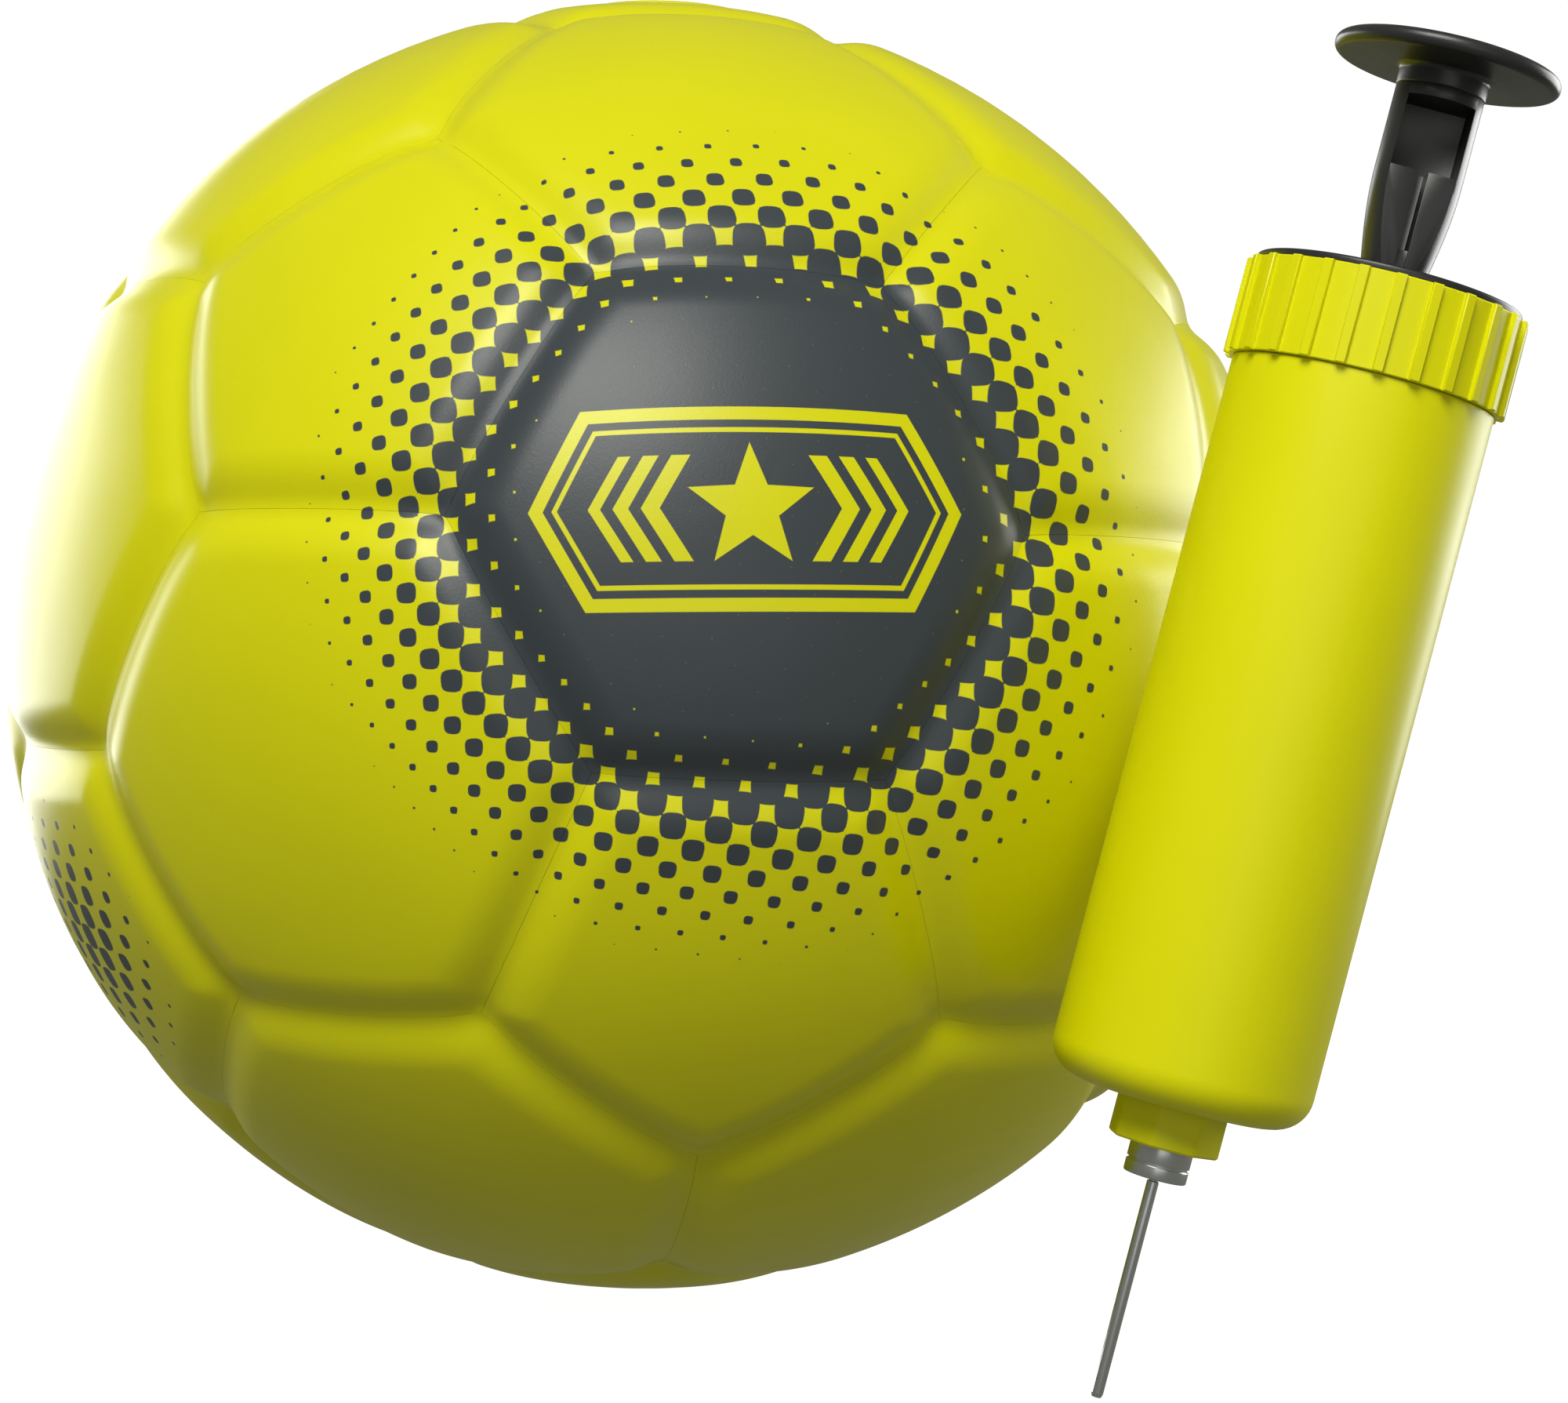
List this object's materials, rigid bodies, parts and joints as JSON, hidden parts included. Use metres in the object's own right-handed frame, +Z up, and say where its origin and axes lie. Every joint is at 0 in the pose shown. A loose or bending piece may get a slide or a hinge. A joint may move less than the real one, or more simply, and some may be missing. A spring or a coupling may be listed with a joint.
{
  "type": "tetherball set",
  "caption": "Inflatable panelled tetherball with a recessed top hitch and a needle valve, and a hand pump with a sliding plunger, screw collar and screw-in inflation needle.",
  "frame": {"origin": "middle of the lower face of the set's box, on the surface that the ball and the needle's tip touch", "axes": "+Z up, +X from the ball towards the pump, -Y is the front with the large print"},
  "size_m": [0.2444, 0.2172, 0.2161],
  "materials": {
    "cover": "satin",
    "carcass_cord": "matte",
    "black_rubber": "satin",
    "valve_rubber": "satin",
    "hitch_plastic": "matte",
    "steel": "satin",
    "pump_yellow": "satin",
    "black_plastic": "satin",
    "white_plastic": "matte",
    "seal_rubber": "matte"
  },
  "bodies": {
    "ball": {"hexagon_panel_01": "cover", "hexagon_panel_02": "cover", "hexagon_panel_03": "cover", "hexagon_panel_04": "cover", "hexagon_panel_05": "cover", "hexagon_panel_06": "cover", "hexagon_panel_07": "cover", "hexagon_panel_08": "cover", "hexagon_panel_09": "cover", "hexagon_panel_10": "cover", "hexagon_panel_11": "cover", "hexagon_panel_12": "cover", "hexagon_panel_13": "cover", "hexagon_panel_14": "cover", "hexagon_panel_15": "cover", "hexagon_panel_16": "cover", "hexagon_panel_17": "cover", "hexagon_panel_18": "cover", "hexagon_panel_19": "cover", "hexagon_panel_20": "cover", "pentagon_panel_01": "cover", "pentagon_panel_02": "cover", "pentagon_panel_03": "cover", "pentagon_panel_04": "cover", "pentagon_panel_05": "cover", "pentagon_panel_06": "cover", "pentagon_panel_07": "cover", "pentagon_panel_08": "cover", "pentagon_panel_09": "cover", "pentagon_panel_10": "cover", "pentagon_panel_11": "cover", "pentagon_panel_12": "cover", "carcass": "carcass_cord", "bladder": "black_rubber", "valve_housing": "black_rubber", "valve_plug": "valve_rubber", "hitch_cup": "hitch_plastic", "hitch_pin": "steel"},
    "pump_barrel": {"pump_barrel": "pump_yellow"},
    "cap_gasket": {"cap_gasket": "seal_rubber"},
    "end_cap": {"collar": "pump_yellow", "end_cap": "black_plastic", "rod_bush": "black_plastic"},
    "plunger": {"push_disc": "black_plastic", "handle_stem": "black_plastic", "plunger_rod": "black_plastic", "piston_head": "white_plastic", "cup_seal": "seal_rubber", "piston_screw": "steel"},
    "needle_seal": {"needle_seal": "seal_rubber"},
    "needle": {"needle_hub": "steel", "needle_tube": "steel"}
  },
  "joints": [
    {"name": "pump_away", "type": "slide", "parent": "ball", "child": "pump_barrel", "axis": [0.7193, -0.6947, 0], "range_m": [0, 0.15]},
    {"name": "cap_lift", "type": "slide", "parent": "pump_barrel", "child": "cap_gasket", "axis": [0.2554, 0.0337, 0.9662], "range_m": [0, 0.006]},
    {"name": "collar_turn", "type": "hinge", "parent": "cap_gasket", "child": "end_cap", "pos_m": [0.09352, -0.08565, 0.14778], "axis": [0.2554, 0.0337, 0.9662], "range_deg": [0, 720]},
    {"name": "plunger_slide", "type": "slide", "parent": "end_cap", "child": "plunger", "axis": [0.2554, 0.0337, 0.9662], "range_m": [0, 0.1]},
    {"name": "needle_drop", "type": "slide", "parent": "pump_barrel", "child": "needle_seal", "axis": [-0.2554, -0.0337, -0.9662], "range_m": [0, 0.00397]},
    {"name": "needle_turn", "type": "hinge", "parent": "needle_seal", "child": "needle", "pos_m": [0.063, -0.08968, 0.03231], "axis": [-0.2554, -0.0337, -0.9662], "range_deg": [0, 1800]}
  ],
  "couplings": [
    {"joint": "cap_lift", "follows": "collar_turn", "m_per_rad": 0.00047746},
    {"joint": "needle_turn", "follows": "needle_drop", "rad_per_m": 7915.8}
  ]
}
